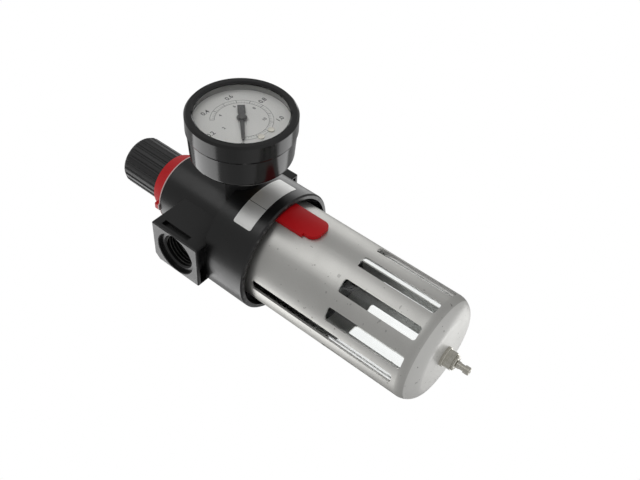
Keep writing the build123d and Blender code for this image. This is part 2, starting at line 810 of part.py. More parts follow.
# Drain: gasket, screwed body, washer and nut
def make_drain():
    nut_top = guard_low - drain_washer_t
    flange_low = bowl_floor + gasket_t
    with BuildPart() as gasket:
        with BuildSketch(Plane.XY.offset(bowl_floor)):
            Circle(drain_flange_r)
            Circle(drain_r + thread_clear, mode=Mode.SUBTRACT)
        extrude(amount=gasket_t)
    keep(gasket, "drain_gasket")
    with BuildPart() as drain:
        revolve(section([(drain_bore_r, drain_seat), (drain_flange_r - 0.6, drain_seat),
                         (drain_flange_r, drain_seat - 0.6), (drain_flange_r, flange_low),
                         (drain_r, flange_low), (drain_r, drain_end + 0.5),
                         (drain_r - 0.5, drain_end), (drain_well_r, drain_end),
                         (drain_well_r, drain_well), (drain_bore_r, drain_well)]), axis=Axis.Z)
    keep(drain, "drain_body")
    with BuildPart() as washer:
        with BuildSketch(Plane.XY.offset(nut_top)):
            Circle(drain_washer_r)
            Circle(drain_r + thread_clear, mode=Mode.SUBTRACT)
        extrude(amount=drain_washer_t)
        chamfer(washer.faces().sort_by(Axis.Z)[0].outer_wire().edges(), 0.3)
    keep(washer, "drain_washer")
    with BuildPart() as nut:
        with BuildSketch(Plane.XY.offset(nut_top)):
            RegularPolygon(drain_nut_af / 2, 6, major_radius=False)
        extrude(amount=-drain_nut_t)
        with BuildSketch(Plane.XY.offset(nut_top)):
            Circle(drain_nut_af / 2 + 0.3)
        extrude(amount=-drain_nut_t, taper=-8, mode=Mode.INTERSECT)
        with BuildSketch(Plane.XY.offset(nut_top)):
            Circle(drain_r + thread_clear)
        extrude(amount=-drain_nut_t, mode=Mode.SUBTRACT)
    keep(nut, "drain_nut")


# Drain stem with its seal: pushed up from below it lets the water out
def make_drain_stem():
    face = drain_seat + seal_t
    collar = drain_end + 0.9
    collar_out = drain_well_r - 2 * running
    with BuildPart() as stem:
        revolve(section([(0, barb_tip), (barb_r - 0.4, barb_tip), (barb_r, barb_tip + 0.5),
                         (barb_r, barb_tip + 3.0), (barb_neck_r, barb_tip + 3.2),
                         (barb_neck_r, barb_tip + 5.2), (barb_r - 0.2, barb_tip + 5.6),
                         (barb_r - 0.2, collar - 0.7), (collar_out, collar - 0.7),
                         (collar_out, collar), (barb_neck_r, collar), (barb_neck_r, face),
                         (stem_head_r, face), (stem_head_r, face + 1.6),
                         (stem_head_r - 0.6, face + 2.2), (0, face + 2.2)]), axis=Axis.Z)
        # Drain bore, open at the tip and through cross holes under the head
        with BuildSketch(Plane.XY.offset(barb_tip)):
            Circle(stem_bore_r)
        extrude(amount=face - barb_tip - 3, mode=Mode.SUBTRACT)
        with BuildSketch(Plane.XZ):
            with Locations((0, face - 4)):
                Circle(stem_bore_r - 0.1)
        extrude(amount=barb_r, both=True, mode=Mode.SUBTRACT)
    keep(stem, "drain_stem")
    with BuildPart() as seal:
        with BuildSketch(Plane.XY.offset(face)):
            Circle(stem_head_r)
            Circle(barb_neck_r, mode=Mode.SUBTRACT)
        extrude(amount=press_gap - seal_t)
    keep(seal, "drain_seal")
    coil("drain_spring", (drain_well_r + barb_neck_r) / 2, 0.5, collar, drain_well, 5)


# Plug of the rear gauge port, with a hexagon socket, and its seal
def make_rear_plug():
    seat = gauge_boss_y + port_seal_t
    rear = Plane(origin=(0, seat, gauge_z), x_dir=(-1, 0, 0), z_dir=(0, 1, 0))
    with BuildPart() as plug:
        with BuildSketch(rear):
            Circle(gauge_tap_r - thread_clear)
        extrude(amount=-(gauge_tap_depth - 1))
        with BuildSketch(rear):
            Circle(port_seal_r)
        extrude(amount=plug_head_t)
        chamfer(plug.faces().sort_by(Axis.Y)[-1].edges(), 0.5)
        with BuildSketch(rear.offset(plug_head_t)):
            RegularPolygon(plug_key / 2, 6, major_radius=False)
        extrude(amount=-4.5, mode=Mode.SUBTRACT)
    keep(plug, "rear_plug")
    for name, side in (("plug_seal", 1), ("gauge_seal", -1)):
        face = Plane(origin=(0, side * gauge_boss_y, gauge_z), x_dir=(1, 0, 0), z_dir=(0, side, 0))
        with BuildPart() as seal:
            with BuildSketch(face):
                Circle(port_seal_r)
                Circle(gauge_tap_r, mode=Mode.SUBTRACT)
            extrude(amount=port_seal_t)
        keep(seal, name)


# Gauge socket: screwed stem, hexagon, neck through the case and the tube's block
def make_gauge_socket():
    stem_low = gauge_boss_y + port_seal_t - gauge_tap_depth + 1
    hex_low = gauge_boss_y + port_seal_t
    hex_high = hex_low + gauge_hex_t
    block_low = case_floor + 1.5
    duct_y = block_low + block_t / 2
    with BuildPart() as socket:
        with BuildSketch(gauge_plane(stem_low)):
            Circle(gauge_tap_r - thread_clear)
        extrude(amount=hex_low - stem_low)
        with BuildSketch(gauge_plane(hex_low)):
            RegularPolygon(gauge_hex / 2, 6, major_radius=False)
        extrude(amount=gauge_hex_t)
        with BuildSketch(gauge_plane(hex_high)):
            Circle(socket_neck_r)
        extrude(amount=case_floor - hex_high)
        with BuildSketch(gauge_plane(case_floor)):
            Circle(socket_neck_r + 2)
        extrude(amount=block_low - case_floor)
        with BuildSketch(gauge_plane(block_low)):
            with Locations((0, block_top / 2 - block_half / 2)):
                Rectangle(2 * block_half, block_top + block_half)
        extrude(amount=block_t)
        # Bore, then up the block and out to the pressure tube
        with BuildSketch(gauge_plane(stem_low)):
            Circle(sense_r)
        extrude(amount=duct_y - stem_low + duct_r, mode=Mode.SUBTRACT)
        with BuildSketch(gauge_half):
            with Locations((0, -duct_y)):
                Circle(duct_r)
        extrude(amount=tube_r, mode=Mode.SUBTRACT)
        with BuildSketch(Plane.YZ):
            with Locations((-duct_y, gauge_z + tube_r - duct_r)):
                Circle(duct_r - 0.2)
        extrude(amount=block_half, mode=Mode.SUBTRACT)
    keep(socket, "gauge_socket")


# Gauge case with two posts for the dial
def make_gauge_case():
    lip_in = dial_r + 0.2
    lip_out = lens_r - 0.1
    with BuildPart() as case:
        with BuildSketch(gauge_half):
            with BuildLine():
                Line((case_bore_r, -case_back), (case_back_r - case_corner, -case_back))
                RadiusArc((case_back_r - case_corner, -case_back),
                          (case_back_r, -case_back - case_corner), case_corner)
                Polyline((case_back_r, -case_back - case_corner), (case_front_r, -bezel_back),
                         (lip_out, -bezel_back), (lip_out, -dial_y), (lip_in, -dial_y),
                         (lip_in, -bezel_back), (case_back_r - case_wall, -case_back - case_corner),
                         (case_back_r - case_corner, -case_floor), (case_bore_r, -case_floor),
                         (case_bore_r, -case_back))
            make_face()
        revolve(axis=gauge_axis)
        with BuildSketch(gauge_plane(case_floor - 0.5)):
            with Locations(*dial_spots):
                Circle(post_r)
        extrude(amount=dial_back - case_floor + 0.5)
        with BuildSketch(gauge_plane(dial_back)):
            with Locations(*dial_spots):
                Circle(dial_hole_r)
        extrude(amount=-6, mode=Mode.SUBTRACT)
    keep(case, "gauge_case")


# Bezel, lens, dial with its spacer ring, and the dial screws
def make_gauge_front():
    bore = lens_r + 0.1
    lens_front = bezel_front - lip_t
    with BuildPart() as bezel:
        revolve(section([(bore, -bezel_back), (bezel_r - 0.5, -bezel_back),
                         (bezel_r, -bezel_back - 1.2), (bezel_r, -bezel_front + 1.2),
                         (bezel_r - 1, -bezel_front), (window_r + 0.9, -bezel_front),
                         (window_r, -bezel_front + 1), (window_r, -lens_front),
                         (bore, -lens_front)], gauge_half), axis=gauge_axis)
    keep(bezel, "gauge_bezel")
    with BuildPart() as lens:
        with BuildSketch(gauge_plane(lens_front - lens_t)):
            Circle(lens_r)
        extrude(amount=lens_t)
    keep(lens, "gauge_lens")
    with BuildPart() as spacer:
        with BuildSketch(gauge_plane(dial_y)):
            Circle(lens_r)
            Circle(dial_r + 0.2, mode=Mode.SUBTRACT)
        extrude(amount=lens_front - lens_t - dial_y)
    keep(spacer, "dial_ring")
    with BuildPart() as dial:
        with BuildSketch(gauge_plane(dial_back)):
            Circle(dial_r)
            Circle(arbor_r + 0.6, mode=Mode.SUBTRACT)
            with Locations(*dial_spots):
                Circle(dial_hole_r, mode=Mode.SUBTRACT)
        extrude(amount=dial_t)
    keep(dial, "gauge_dial")
    with BuildPart() as screws:
        with BuildSketch(gauge_plane(dial_y)):
            with Locations(*dial_spots):
                Circle(dial_hole_r + 0.7)
        extrude(amount=dial_head_t)
        with BuildSketch(gauge_plane(dial_y)):
            with Locations(*dial_spots):
                Circle(dial_hole_r - thread_clear)
        extrude(amount=-5)
    keep(screws, "dial_screws")


# Pressure tube and the frame that carries the pointer's arbor
def make_movement():
    block_front = case_floor + 1.5 + block_t
    start = 90 - math.degrees(math.asin(block_half / (tube_r - tube_t / 2))) - 0.6
    front = dial_back - 2 - plate_t
    with BuildPart() as tube:
        extrude(sector(tube_r - tube_t / 2, tube_r + tube_t / 2, start - tube_span / 2, tube_span,
                       gauge_plane(block_front - block_t / 2 - tube_w / 2)), amount=tube_w)
    keep(tube, "bourdon_tube")
    with BuildPart() as frame:
        for level in (block_front, front):
            with BuildSketch(gauge_plane(level)):
                Rectangle(plate_w, plate_h)
                Circle(arbor_r + running, mode=Mode.SUBTRACT)
            extrude(amount=plate_t)
        with BuildSketch(gauge_plane(block_front)):
            with Locations((plate_w / 2 - 1.4, plate_h / 2 - 1.4), (1.4 - plate_w / 2, 1.4 - plate_h / 2)):
                Circle(1.1)
        extrude(amount=front - block_front)
    keep(frame, "movement_frame")
    with BuildPart() as arbor:
        with BuildSketch(gauge_plane(block_front + 0.3)):
            Circle(arbor_r)
        extrude(amount=pointer_y + pointer_t - block_front - 0.3)
        with BuildSketch(gauge_plane(block_front + plate_t + 1.4)):
            Circle(pinion_r)
        extrude(amount=2.2)
    keep(arbor, "pointer_arbor")


# Pointer: blade, hub and broad tail, drawn at its zero place
def make_pointer():
    turn = math.radians(zero_angle)
    at_zero = Plane(origin=(0, -pointer_y, gauge_z), x_dir=(math.cos(turn), 0, math.sin(turn)),
                    z_dir=(0, -1, 0))
    with BuildPart() as pointer:
        with BuildSketch(at_zero):
            Circle(hub_r)
            Polygon((0, 1.2), (needle_len - 1, 0.8), (needle_len, 0), (needle_len - 1, -0.8),
                    (0, -1.2), align=None)
            Polygon((-tail_len, tail_half), (-4, tail_half), (-1.5, 1.1), (-1.5, -1.1),
                    (-4, -tail_half), (-tail_len, -tail_half), align=None)
            Circle(arbor_r, mode=Mode.SUBTRACT)
        extrude(amount=pointer_t)
        with BuildSketch(at_zero.offset(pointer_t)):
            Circle(hub_r - 0.8)
        extrude(amount=0.6)
    keep(pointer, "pointer")


make_body()
make_valve_seat()
make_bonnet()
make_lock_ring()
make_knob()
make_adjusting_screw()
make_thrust_washer()
make_adjusting_nut()
coil("regulating_spring", spring_mean_r, spring_wire, piston_low + piston_t - 1.2,
     nut_high - nut_t, spring_turns)
make_piston()
make_valve()
coil("valve_spring", 4.2, 0.8, guide_top, seat_low - 0.05 - valve_t, 3)
make_valve_guide()
make_deflector()
make_filter()
make_baffle()
make_bowl()
make_guard()
make_latch()
make_drain()
make_drain_stem()
make_rear_plug()
make_gauge_socket()
make_gauge_case()
make_gauge_front()
make_movement()
make_pointer()
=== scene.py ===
import math

import bpy
from mathutils import Matrix, Vector


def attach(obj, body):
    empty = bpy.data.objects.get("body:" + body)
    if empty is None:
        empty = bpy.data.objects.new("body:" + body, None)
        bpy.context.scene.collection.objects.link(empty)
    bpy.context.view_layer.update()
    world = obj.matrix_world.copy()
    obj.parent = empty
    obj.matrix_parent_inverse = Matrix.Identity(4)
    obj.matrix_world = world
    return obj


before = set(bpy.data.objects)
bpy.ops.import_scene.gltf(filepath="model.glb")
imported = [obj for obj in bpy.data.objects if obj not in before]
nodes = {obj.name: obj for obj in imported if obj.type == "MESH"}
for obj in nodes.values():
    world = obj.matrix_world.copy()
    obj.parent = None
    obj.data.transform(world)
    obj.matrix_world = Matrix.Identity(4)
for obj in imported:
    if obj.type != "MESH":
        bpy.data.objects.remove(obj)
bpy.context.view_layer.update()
bpy.ops.object.select_all(action="DESELECT")


# The studio: a white room with large soft boxes, seen from low on the left, as a small
# product is photographed on a light table. The camera's place and lens are those of the
# photograph, and each box is placed by what the glossy faces of the part reflect.
eye = Vector((-0.2250, -0.3129, -0.2220))
right = Vector((0.6270, -0.0624, -0.7765))
up = Vector((0.5367, -0.6879, 0.4887))
toward = right.cross(up)
bpy.ops.object.camera_add(location=eye)
camera = bpy.context.object
camera.name = "camera"
camera.data.lens = 45.0
camera.data.sensor_width = 36.0
camera.rotation_mode = "QUATERNION"
camera.rotation_quaternion = Matrix((right, up, toward)).transposed().to_quaternion()
camera.data.clip_start = 0.01
bpy.context.scene.camera = camera
bpy.context.scene.view_settings.view_transform = "Standard"

bpy.ops.mesh.primitive_plane_add(size=8, location=(0, 0, -0.75))
floor = bpy.context.object
floor.name = "floor"
paper = bpy.data.materials.new("white_paper")
paper.use_nodes = True
paper.node_tree.nodes["Principled BSDF"].inputs["Base Color"].default_value = (0.9, 0.9, 0.9, 1)
paper.node_tree.nodes["Principled BSDF"].inputs["Roughness"].default_value = 0.8
floor.data.materials.append(paper)

# The paper behind the part is white to the camera and through clear pieces, and gives the
# part a softer light.
room_light = 0.40
room = bpy.data.worlds.new("white_room")
room.use_nodes = True
bpy.context.scene.world = room
room_nodes = room.node_tree.nodes
room_links = room.node_tree.links
seen = room_nodes.new("ShaderNodeBackground")
seen.inputs["Color"].default_value = (1, 1, 1, 1)
seen.inputs["Strength"].default_value = 1.0
lit = room_nodes["Background"]
lit.inputs["Color"].default_value = (1, 1, 1, 1)
lit.inputs["Strength"].default_value = room_light
path = room_nodes.new("ShaderNodeLightPath")
straight = room_nodes.new("ShaderNodeMath")
straight.operation = "MAXIMUM"
both = room_nodes.new("ShaderNodeMixShader")
room_links.new(path.outputs["Is Camera Ray"], straight.inputs[0])
room_links.new(path.outputs["Is Transmission Ray"], straight.inputs[1])
room_links.new(straight.outputs[0], both.inputs["Fac"])
room_links.new(lit.outputs["Background"], both.inputs[1])
room_links.new(seen.outputs["Background"], both.inputs[2])
room_links.new(both.outputs["Shader"], room_nodes["World Output"].inputs["Surface"])

middle = Vector((0, 0, -0.04))
soft_boxes = (
    # name, picture right, up and toward the camera, distance, width, height, brightness
    ("back_left_box", (-0.75, -0.50, -0.45), 1.0, 0.75, 0.75, 2.0),
    ("back_right_box", (0.78, -0.24, -0.56), 1.0, 0.60, 0.60, 1.7),
    ("back_top_box", (0.20, 0.70, -0.65), 1.0, 0.80, 0.45, 1.15),
    ("front_top_box", (-0.36, 0.68, 0.60), 1.0, 0.70, 0.55, 1.25),
)
for name, (to_right, to_up, to_eye), far, wide, tall, bright in soft_boxes:
    aim = (to_right * right + to_up * up + to_eye * toward).normalized()
    bpy.ops.object.light_add(type="AREA", location=middle + aim * far)
    box = bpy.context.object
    box.name = name
    box.rotation_mode = "QUATERNION"
    box.rotation_quaternion = aim.to_track_quat("Z", "Y")
    box.data.shape = "RECTANGLE"
    box.data.size = wide
    box.data.size_y = tall
    box.data.energy = bright * math.pi * wide * tall


# Body and bonnet: die-cast zinc alloy, sprayed satin black. The spray leaves a faint orange
# peel, and it is rubbed thin along the edges of the port faces and of the skirt's rim.
class Value:
    """A shader socket on which sums can be written."""

    def __init__(self, finish, socket):
        self.finish = finish
        self.socket = socket

    def sum(self, operation, first, second=0.0):
        return self.finish.node("ShaderNodeMath", {"operation": operation}, {0: first, 1: second})

    def __add__(self, other):
        return self.sum("ADD", self, other)

    def __radd__(self, other):
        return self.sum("ADD", other, self)

    def __sub__(self, other):
        return self.sum("SUBTRACT", self, other)

    def __rsub__(self, other):
        return self.sum("SUBTRACT", other, self)

    def __mul__(self, other):
        return self.sum("MULTIPLY", self, other)

    def __rmul__(self, other):
        return self.sum("MULTIPLY", other, self)

    def __gt__(self, other):
        return self.sum("GREATER_THAN", self, other)

    def __lt__(self, other):
        return self.sum("LESS_THAN", self, other)

    def __abs__(self):
        return self.sum("ABSOLUTE", self)

    def __pow__(self, other):
        return self.sum("POWER", self, other)


class Finish:
    """One procedural material on Object coordinates."""

    def __init__(self, name, **sockets):
        self.material = bpy.data.materials.new(name)
        self.material.use_nodes = True
        self.tree = self.material.node_tree
        self.shader = self.tree.nodes["Principled BSDF"]
        for socket, value in sockets.items():
            self.shader.inputs[socket.replace("_", " ").title().replace("Ior", "IOR")].default_value = value
        self.place = self.node("ShaderNodeTexCoord", {}, {}, "Object")

    def node(self, kind, settings, sockets, output=0):
        made = self.tree.nodes.new(kind)
        for name, value in settings.items():
            if name == "stops":
                while len(made.color_ramp.elements) < len(value):
                    made.color_ramp.elements.new(0.5)
                for stop, (at, colour) in zip(made.color_ramp.elements, value):
                    stop.position = at
                    stop.color = (*colour, 1)
            else:
                setattr(made, name, value)
        for name, value in sockets.items():
            self.feed(made.inputs[name], value)
        return Value(self, made.outputs[output])

    def feed(self, socket, value):
        if isinstance(value, Value):
            self.tree.links.new(value.socket, socket)
        elif socket.type == "RGBA" and len(value) == 3:
            socket.default_value = (*value, 1)
        else:
            socket.default_value = value

    def axes(self):
        """Give the x, y and z of the surface as three values."""
        return [self.node("ShaderNodeSeparateXYZ", {}, {0: self.place}, axis) for axis in range(3)]

    def noise(self, scale, detail=3.0, rough=0.5, stretch=(1, 1, 1), turn=(0, 0, 0)):
        spot = self.node("ShaderNodeMapping", {}, {"Vector": self.place, "Scale": stretch,
                                                   "Rotation": turn})
        return self.node("ShaderNodeTexNoise", {}, {"Vector": spot, "Scale": scale,
                                                    "Detail": detail, "Roughness": rough})

    def ramp(self, value, low, high):
        """Give 0 below low and 1 above high, smooth between them."""
        return self.node("ShaderNodeMapRange", {"interpolation_type": "SMOOTHSTEP"},
                         {"Value": value, "From Min": low, "From Max": high})

    def blend(self, mask, first, second):
        return self.node("ShaderNodeMix", {"data_type": "RGBA"}, {0: mask, 6: first, 7: second}, 2)

    def colour(self, value):
        self.feed(self.shader.inputs["Base Color"], value)

    def rough(self, value):
        self.feed(self.shader.inputs["Roughness"], value)

    def bump(self, height, depth, strength=1.0):
        normal = self.node("ShaderNodeBump", {}, {"Height": height, "Distance": depth,
                                                  "Strength": strength})
        self.feed(self.shader.inputs["Normal"], normal)

    def cover(self, *pieces):
        for piece in pieces:
            node = nodes[piece] if isinstance(piece, str) else piece
            node.data.materials.clear()
            node.data.materials.append(self.material)


port_face_x = 0.0400
skirt_rim_z = -0.0420
spray = Finish("satin_black_spray")
x, y, z = spray.axes()
near_port_face = spray.ramp(abs(x), port_face_x - 0.0006, port_face_x - 0.0001)
near_rim = spray.ramp(0.0 - z, -skirt_rim_z - 0.0005, -skirt_rim_z)
rubbed = spray.ramp(spray.noise(420, 4, 0.65), 0.50, 0.66) * (near_port_face * 0.35 + near_rim * 0.5)
cloud = spray.blend(spray.noise(60, 4), (0.0055, 0.0056, 0.0057), (0.0105, 0.0106, 0.0108))
spray.colour(spray.blend(rubbed, cloud, (0.16, 0.16, 0.155)))
spray.rough(spray.noise(240, 3) * 0.12 + 0.24)
spray.bump(spray.noise(1100, 2), 0.00003, 0.3)
spray.cover("body", "bonnet")


# Port threads: half-inch pipe thread, tapped in both ports after casting, so the flanks are
# bare cut metal, coloured near black as painted shade in the bore. Each is one ridge wound round the bore of
# the CAD body.
port_bore_r = 0.00952
port_crest_r = 0.00895
port_pitch = 0.001814
port_turns = 6
port_thread_x = (-0.0366, 0.0257)


def apply_place(piece):
    """Set the piece's modifiers and place into its mesh."""
    bpy.ops.object.select_all(action="DESELECT")
    piece.select_set(True)
    bpy.context.view_layer.objects.active = piece
    for modifier in list(piece.modifiers):
        bpy.ops.object.modifier_apply(modifier=modifier.name)
    bpy.ops.object.transform_apply(location=True, rotation=True, scale=True)


def face_outwards(piece, merge=0.0):
    """Merge doubled points and turn all faces outwards."""
    bpy.ops.object.mode_set(mode="EDIT")
    bpy.ops.mesh.select_all(action="SELECT")
    if merge:
        bpy.ops.mesh.remove_doubles(threshold=merge)
    bpy.ops.mesh.normals_make_consistent(inside=False)
    bpy.ops.object.mode_set(mode="OBJECT")


def fit(piece, finish, body):
    """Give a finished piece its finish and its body."""
    finish.cover(piece)
    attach(piece, body)


def wind_thread(name, axis, start, root_r, crest_r, pitch, turns):
    """Wind a ridge of three-sided section round the axis, from start, and close its ends."""
    middle_r = (root_r * 2 + crest_r) / 3
    ridge = abs(root_r - crest_r) * 2 / 3
    flip = math.pi if crest_r > root_r else 0.0
    if axis == "X":
        bpy.ops.mesh.primitive_circle_add(vertices=3, radius=ridge, location=(start, 0, middle_r),
                                          rotation=(-math.pi / 2 + flip, 0, 0))
    else:
        bpy.ops.mesh.primitive_circle_add(vertices=3, radius=ridge, location=(middle_r, 0, start),
                                          rotation=(math.pi / 2, math.pi / 2 + flip, 0))
    piece = bpy.context.object
    piece.name = name
    apply_place(piece)
    winding = piece.modifiers.new("winding", "SCREW")
    winding.axis = axis
    winding.screw_offset = pitch
    winding.iterations = turns
    winding.steps = 40
    winding.render_steps = 40
    apply_place(piece)
    bpy.ops.object.mode_set(mode="EDIT")
    bpy.ops.mesh.select_all(action="SELECT")
    bpy.ops.mesh.fill_holes(sides=3)
    bpy.ops.object.mode_set(mode="OBJECT")
    face_outwards(piece, 1e-6)
    return piece


thread_shade = Finish("thread_flanks_painted_shade", metallic=0.85)
# Painted shade: the flanks' colour is kept near black for the shade inside the bore.
thread_shade.colour(thread_shade.blend(thread_shade.noise(700, 3), (0.055, 0.054, 0.052), (0.16, 0.158, 0.152)))
thread_shade.rough(thread_shade.noise(900) * 0.2 + 0.26)
for name, start in zip(("inlet_thread", "outlet_thread"), port_thread_x):
    fit(wind_thread(name, "X", start, port_bore_r, port_crest_r, port_pitch, port_turns),
        thread_shade, "housing")


# Skirt label: a pale foil label wrapped round the front of the skirt, left bare, with one
# thin rule between its two fields. It is glued on after the body is sprayed.
label_r = 0.03474
label_thick = 0.00014
label_low = -0.0358
label_high = -0.0244
label_left = -127.6
label_span = 62
label_rule = math.radians(-105)
label_corner = 0.0011
bpy.ops.mesh.primitive_cylinder_add(vertices=180, radius=label_r, depth=label_high - label_low,
                                    end_fill_type="NOTHING",
                                    location=(0, 0, (label_low + label_high) / 2),
                                    rotation=(0, 0, math.radians(label_left)))
label = bpy.context.object
label.name = "skirt_label"
apply_place(label)


def bearing(point, start=0.0):
    """Give the point's angle round Z in degrees past start, 0 to 360."""
    return (math.degrees(math.atan2(point.y, point.x)) - start) % 360


def choose(piece, kind, test):
    """Select the vertices, edges or faces of the piece for which test is true."""
    bpy.ops.object.mode_set(mode="EDIT")
    bpy.ops.mesh.select_mode(type=kind)
    bpy.ops.mesh.select_all(action="DESELECT")
    bpy.ops.object.mode_set(mode="OBJECT")
    mesh = piece.data
    group = {"VERT": mesh.vertices, "EDGE": mesh.edges, "FACE": mesh.polygons}[kind]
    for item in group:
        item.select = test(item)
    bpy.ops.object.mode_set(mode="EDIT")


choose(label, "FACE", lambda face: bearing(face.center, label_left) > label_span)
bpy.ops.mesh.delete(type="FACE")
bpy.ops.object.mode_set(mode="OBJECT")


def label_end(vertex):
    """Tell whether the vertex is one of the label's four corners."""
    past = (bearing(vertex.co, label_left) + 1) % 360
    return past < 1.5 or past > label_span + 0.5


choose(label, "VERT", label_end)
bpy.ops.mesh.bevel(offset=label_corner, segments=5, affect="VERTICES")
bpy.ops.object.mode_set(mode="OBJECT")
face_outwards(label)
sheet = label.modifiers.new("sheet", "SOLIDIFY")
sheet.thickness = label_thick
sheet.offset = 1.0
apply_place(label)
bpy.ops.object.shade_smooth_by_angle(angle=math.radians(30))
foil = Finish("bare_label_foil", metallic=0.55)
x, y, z = foil.axes()
off_rule = abs(y * math.cos(label_rule) - x * math.sin(label_rule))
plain = foil.blend(foil.noise(90, 3), (0.80, 0.80, 0.785), (0.90, 0.90, 0.885))
foil.colour(foil.blend(off_rule < 0.00013, plain, (0.05, 0.05, 0.05)))
foil.rough(foil.noise(500) * 0.12 + 0.38)
fit(label, foil, "housing")


# Knob: moulded nylon with a satin grip. It turns the adjusting screw and is pushed down
# into the lock ring to hold the setting.
nylon = Finish("black_nylon")
nylon.colour(nylon.blend(nylon.noise(160), (0.013, 0.013, 0.0135), (0.023, 0.023, 0.0235)))
nylon.rough(nylon.noise(700, 3) * 0.16 + 0.34)
nylon.bump(nylon.noise(1800, 2), 0.00003, 0.4)
nylon.cover("knob", "baffle")


# Lock ring and latch button: red moulded nylon. The ring's lower lip, against the body, is painted
# pale as a highlight along its edge.
red = Finish("red_moulding", specular_ior_level=0.22)
x, y, z = red.axes()
# Painted highlight: a near-white band round the ring's lower lip.
lip_highlight = red.ramp(0.0 - z, -0.0325, -0.0320) * (z > 0.02)
dye = red.blend(red.noise(90), (0.56, 0.0050, 0.0090), (0.66, 0.0085, 0.0130))
red.colour(red.blend(lip_highlight * 0.85, dye, (0.80, 0.72, 0.70)))
red.rough(red.noise(500, 3) * 0.12 + 0.36)
red.bump(red.noise(1400, 2), 0.00002, 0.3)
red.cover("lock_ring", "latch_button")


# Turned steel: adjusting screw, thrust washer, rear plug and pointer arbor, all with the
# fine rings that a lathe tool leaves.
turned = Finish("turned_steel", metallic=1.0)
rings = turned.noise(300, 2, 0.5, stretch=(1, 1, 14))
turned.colour(turned.blend(rings, (0.46, 0.46, 0.46), (0.62, 0.62, 0.61)))
turned.rough(rings * 0.2 + 0.24)
turned.cover("adjusting_screw", "thrust_washer", "rear_plug", "pointer_arbor")


# Turned brass: adjusting nut, valve seat, poppet, gauge socket and the gauge's movement,
# bright where freshly cut.
brass = Finish("turned_brass", metallic=1.0)
lathe = brass.noise(320, 2, 0.5, stretch=(1, 1, 12))
brass.colour(brass.blend(lathe, (0.58, 0.41, 0.16), (0.74, 0.56, 0.27)))
brass.rough(lathe * 0.2 + 0.22)
brass.cover("adjusting_nut", "valve_seat", "valve_poppet", "gauge_socket", "movement_frame")


# Springs: hard-drawn steel wire, coiled cold, for the regulator, valve, latch and drain.
wire = Finish("spring_wire", metallic=1.0)
wire.colour(wire.blend(wire.noise(400), (0.30, 0.31, 0.33), (0.46, 0.47, 0.49)))
wire.rough(wire.noise(900) * 0.2 + 0.25)
wire.cover("regulating_spring", "valve_spring", "latch_spring", "drain_spring")


# Sensing piston: turned aluminium, left bare. It carries the spring and meets the valve stem.
alloy = Finish("turned_aluminium", metallic=1.0)
alloy.colour(alloy.blend(alloy.noise(260, 2, 0.5, stretch=(1, 1, 12)),
                         (0.60, 0.61, 0.62), (0.76, 0.77, 0.78)))
alloy.rough(alloy.noise(500) * 0.18 + 0.26)
alloy.cover("sensing_piston")


# Seals: nitrile rubber rings and faces, moulded, with a dull skin.
rubber = Finish("nitrile_rubber")
rubber.colour(rubber.blend(rubber.noise(300), (0.012, 0.012, 0.012), (0.028, 0.028, 0.027)))
rubber.rough(rubber.noise(800) * 0.2 + 0.5)
rubber.bump(rubber.noise(1500, 2), 0.00003, 0.4)
rubber.cover("piston_seal", "valve_facing", "guide_seal", "bowl_seal", "drain_gasket", "drain_seal",
             "plug_seal", "gauge_seal")


# Valve guide and swirl deflector: natural moulded acetal, screwed up under the body.
acetal = Finish("natural_acetal", subsurface_weight=0.05)
acetal.colour(acetal.blend(acetal.noise(120), (0.66, 0.66, 0.64), (0.80, 0.80, 0.78)))
acetal.rough(acetal.noise(600) * 0.14 + 0.36)
acetal.cover("valve_guide", "deflector")


# Filter element: a white tube of sintered plastic beads, rough with small pores, held
# between the deflector and the baffle.
sinter = Finish("sintered_tube")
grain = sinter.noise(1500, 4, 0.7)
sinter.colour(sinter.blend(grain, (0.62, 0.61, 0.57), (0.90, 0.89, 0.85)))
sinter.rough(grain * 0.2 + 0.72)
sinter.bump(grain, 0.0002, 0.8)
sinter.cover("filter_element")


# Bowl: clear moulded polycarbonate with faint flow haze. It hangs inside the guard.
clear = Finish("clear_polycarbonate", transmission_weight=1.0, ior=1.25)
clear.colour(clear.blend(clear.noise(40), (0.95, 0.965, 0.96), (0.99, 0.995, 0.99)))
clear.rough(clear.noise(200) * 0.04 + 0.01)
clear.cover("bowl")


# Bowl guard: drawn steel sleeve with silver-grey metallic paint. The pressed slots show bare
# cut edges, and the dome has specks in the paint and a few fine scratches.
guard_outer_r = 0.0290
guard_inner_r = 0.0278
silver = Finish("silver_paint", specular_tint=(0.62, 0.62, 0.61, 1))
x, y, z = silver.axes()
radius = (x * x + y * y) ** 0.5
cut_edge = (radius > guard_inner_r + 0.00006) * (radius < guard_outer_r - 0.00020) * (z > -0.1338)
flake = silver.noise(2600, 2, 0.6)
patchy = silver.noise(34, 3, 0.55)
near_dome = silver.ramp(0.0 - z, 0.118, 0.134)
speck = silver.ramp(silver.noise(560, 1, 0.4) + near_dome * 0.018, 0.760, 0.785)
# Painted light: the guard's inner face is coloured paler and less metallic, to stand for light falling
# inside the guard behind the bowl.
inside = radius < guard_inner_r + 0.00004
scratch = silver.ramp(silver.noise(300, 1, 0.3, stretch=(0.05, 1.6, 1.6), turn=(0.5, 0.4, 0.9)), 0.735, 0.76)
paint = silver.blend(flake, (0.54, 0.535, 0.512), (0.66, 0.655, 0.630))
paint = silver.blend(inside, paint, (0.80, 0.795, 0.77))
paint = silver.blend(silver.ramp(patchy, 0.42, 0.70) * 0.22, paint, (0.42, 0.415, 0.395))
paint = silver.blend(speck * 0.7, paint, (0.16, 0.155, 0.145))
paint = silver.blend(scratch * 0.45, paint, (0.24, 0.235, 0.225))
silver.colour(silver.blend(cut_edge, paint, (0.72, 0.71, 0.69)))
silver.feed(silver.shader.inputs["Metallic"], 0.82 - cut_edge * 0.30 - inside * 0.45)
silver.rough(silver.noise(120, 3) * 0.10 + 0.34)
silver.bump(flake, 0.00002, 0.35)
silver.cover("bowl_guard")


